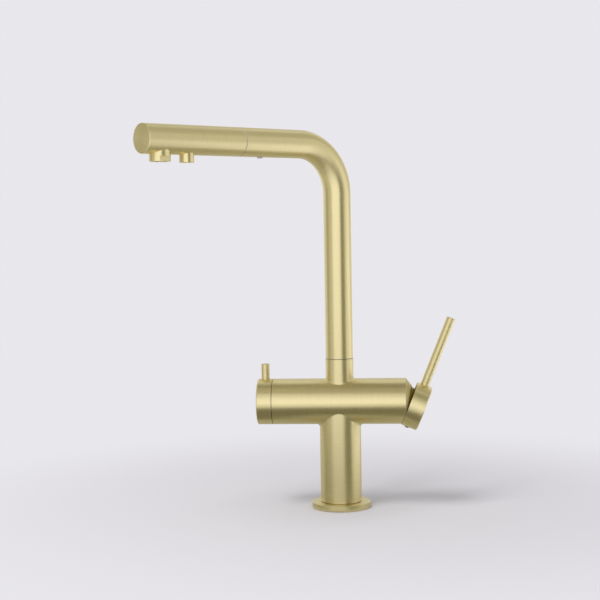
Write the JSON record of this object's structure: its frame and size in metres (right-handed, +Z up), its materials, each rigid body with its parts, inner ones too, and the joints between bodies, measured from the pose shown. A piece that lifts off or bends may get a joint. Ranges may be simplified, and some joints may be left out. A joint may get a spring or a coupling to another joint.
{
  "type": "kitchen tap",
  "caption": "Deck-standing kitchen mixer in satin brass: column and level barrel, tilting lever, filter knob, swivel spout with pull-out two-outlet head.",
  "frame": {"origin": "centre of the deck hole at the worktop surface, on the column axis", "axes": "+X along the barrel towards the mixing lever, -Y towards the user, +Z up the column"},
  "size_m": [0.2932, 0.2048, 0.4387],
  "materials": {
    "satin_brass": "satin brushed, fine lines round each turned piece",
    "plain_brass": "as turned",
    "steel": "zinc plated",
    "dark_steel": "black oxide",
    "black_rubber": "moulded",
    "pale_plastic": "moulded",
    "dark_plastic": "moulded",
    "grey_plastic": "moulded",
    "ceramic": "lapped ceramic",
    "hose_braid": "woven nylon sleeve",
    "white_tube": "drawn tube"
  },
  "bodies": {
    "tap": {"base_flange": "satin_brass", "deck_seal": "black_rubber", "threaded_shank": "plain_brass", "tap_body": "satin_brass", "swivel_stop_screw": "dark_steel", "mixer_base": "grey_plastic", "mixer_base_seals": "black_rubber", "mixer_fixed_disc": "ceramic", "mixer_housing": "grey_plastic", "mixer_nut": "plain_brass", "mixer_shroud": "satin_brass", "valve_housing": "plain_brass", "valve_seal": "black_rubber", "valve_fixed_disc": "ceramic", "knob_guide_ring": "pale_plastic"},
    "deck_clamp": {"clamp_rubber_washer": "black_rubber", "clamp_steel_washer": "steel", "clamp_nut": "plain_brass", "jack_screws": "steel"},
    "mixer_rotor": {"mixer_rotor": "pale_plastic", "mixer_pivot_pin": "steel"},
    "mixing_disc": {"mixer_moving_disc": "ceramic", "mixer_disc_carrier": "pale_plastic"},
    "lever": {"mixer_stem": "steel", "lever_hub": "satin_brass", "hub_set_screw": "dark_steel", "hub_plug": "satin_brass", "lever_rod": "satin_brass"},
    "filter_knob": {"valve_moving_disc": "ceramic", "valve_spindle": "plain_brass", "spindle_rings": "black_rubber", "filter_knob": "satin_brass", "knob_pin": "satin_brass"},
    "spout": {"spout_tube": "satin_brass", "slip_ring": "dark_plastic", "swivel_bush": "plain_brass", "swivel_rings": "black_rubber", "docking_sleeve": "pale_plastic", "docking_screw": "dark_steel", "hose_rear": "hose_braid", "inner_tube_rear": "white_tube"},
    "head": {"hose_front": "hose_braid", "inner_tube_front": "white_tube", "hose_connector": "plain_brass", "head_shell": "satin_brass", "head_end_cap": "satin_brass", "head_core": "dark_plastic", "aerator_housing": "satin_brass", "aerator_insert": "dark_plastic", "aerator_seal": "black_rubber", "filter_nozzle": "satin_brass", "nozzle_insert": "dark_plastic", "nozzle_seal": "black_rubber"}
  },
  "joints": [
    {"name": "spout_swivel", "type": "hinge", "parent": "tap", "child": "spout", "pos_m": [0, 0, 0.153], "axis": [0, 0, 1], "range_deg": [-45, 135]},
    {"name": "head_pull", "type": "slide", "parent": "spout", "child": "head", "axis": [-0.7071, -0.7071, 0], "range_m": [0, 0.06]},
    {"name": "mixer_temperature", "type": "hinge", "parent": "tap", "child": "mixer_rotor", "pos_m": [0.065, 0, 0.1089], "axis": [1, 0, 0], "range_deg": [-45, 45]},
    {"name": "mixer_flow", "type": "hinge", "parent": "mixer_rotor", "child": "lever", "pos_m": [0.065, 0, 0.1089], "axis": [0, 1, 0], "range_deg": [-22, 1.5]},
    {"name": "mixer_disc_slide", "type": "slide", "parent": "mixer_rotor", "child": "mixing_disc", "axis": [0, 0, 1], "range_m": [-0.0062, 0.0007]},
    {"name": "filter_knob_turn", "type": "hinge", "parent": "tap", "child": "filter_knob", "pos_m": [-0.0766, 0, 0.1089], "axis": [1, 0, 0], "range_deg": [0, 90]},
    {"name": "clamp_slide", "type": "slide", "parent": "tap", "child": "deck_clamp", "axis": [0, 0, -1], "range_m": [-0.02, 0.035]}
  ],
  "couplings": [
    {"joint": "mixer_disc_slide", "follows": "mixer_flow", "m_per_rad": 0.01512}
  ]
}
